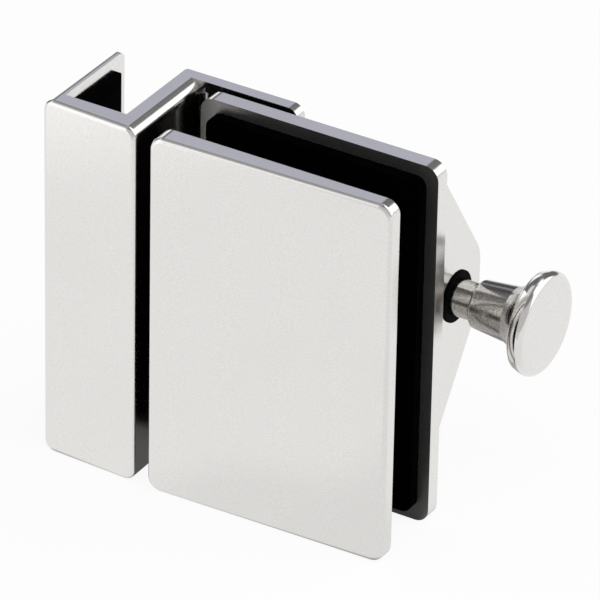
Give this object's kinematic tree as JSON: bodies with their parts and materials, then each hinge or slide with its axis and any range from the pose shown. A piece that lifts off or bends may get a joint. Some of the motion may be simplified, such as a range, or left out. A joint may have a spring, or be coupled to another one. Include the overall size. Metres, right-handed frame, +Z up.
{
  "type": "glass gate latch",
  "caption": "Sprung bolt latch for a glass gate that closes against a glass panel at a right angle; clamp plates, strike bracket and pull knob in polished steel.",
  "frame": {"origin": "middle of the gate's front glass face, where the front gasket's inner face meets the glass, at half height and half the plates' width", "axes": "+X from the strike bracket to the knob, along the pull; +Y square to the gate's glass, from the front plate to the bolt behind; +Z up"},
  "size_m": [0.1156, 0.0619, 0.1],
  "materials": {
    "polished_steel": "mirror-polished stainless steel",
    "bright_steel": "turned or drawn stainless steel, satin",
    "black_rubber": "matt black rubber sheet",
    "black_nylon": "turned black nylon",
    "pale_nylon": "natural nylon"
  },
  "bodies": {
    "latch_frame": {"front_plate": "polished_steel", "rear_plate": "polished_steel", "bolt_cradle": "polished_steel", "strike_bracket": "polished_steel", "clamp_boss_lower": "bright_steel", "clamp_boss_upper": "bright_steel", "clamp_screw_lower": "bright_steel", "clamp_screw_upper": "bright_steel", "cradle_screw_1": "bright_steel", "cradle_screw_2": "bright_steel", "cradle_screw_3": "bright_steel", "cradle_screw_4": "bright_steel", "strike_screw_lower": "bright_steel", "strike_screw_upper": "bright_steel", "spring_washer": "bright_steel", "bolt_spring": "bright_steel", "front_gasket": "black_rubber", "rear_gasket": "black_rubber", "strike_liner": "black_rubber", "strike_buffer_lower": "black_rubber", "strike_buffer_upper": "black_rubber", "rod_bush": "black_nylon", "glass_sleeve_lower": "pale_nylon", "glass_sleeve_upper": "pale_nylon", "strike_sleeve_lower": "pale_nylon", "strike_sleeve_upper": "pale_nylon", "glide_strip": "pale_nylon"},
    "bolt": {"tongue": "polished_steel", "tongue_pin": "bright_steel", "pull_rod": "polished_steel", "knob": "polished_steel"}
  },
  "joints": [
    {"name": "bolt_pull", "type": "slide", "parent": "latch_frame", "child": "bolt", "axis": [1, 0, 0], "range_m": [0, 0.011], "stiffness_N_per_m": 800, "springref_m": -0.008, "deforming": ["bolt_spring"]}
  ]
}
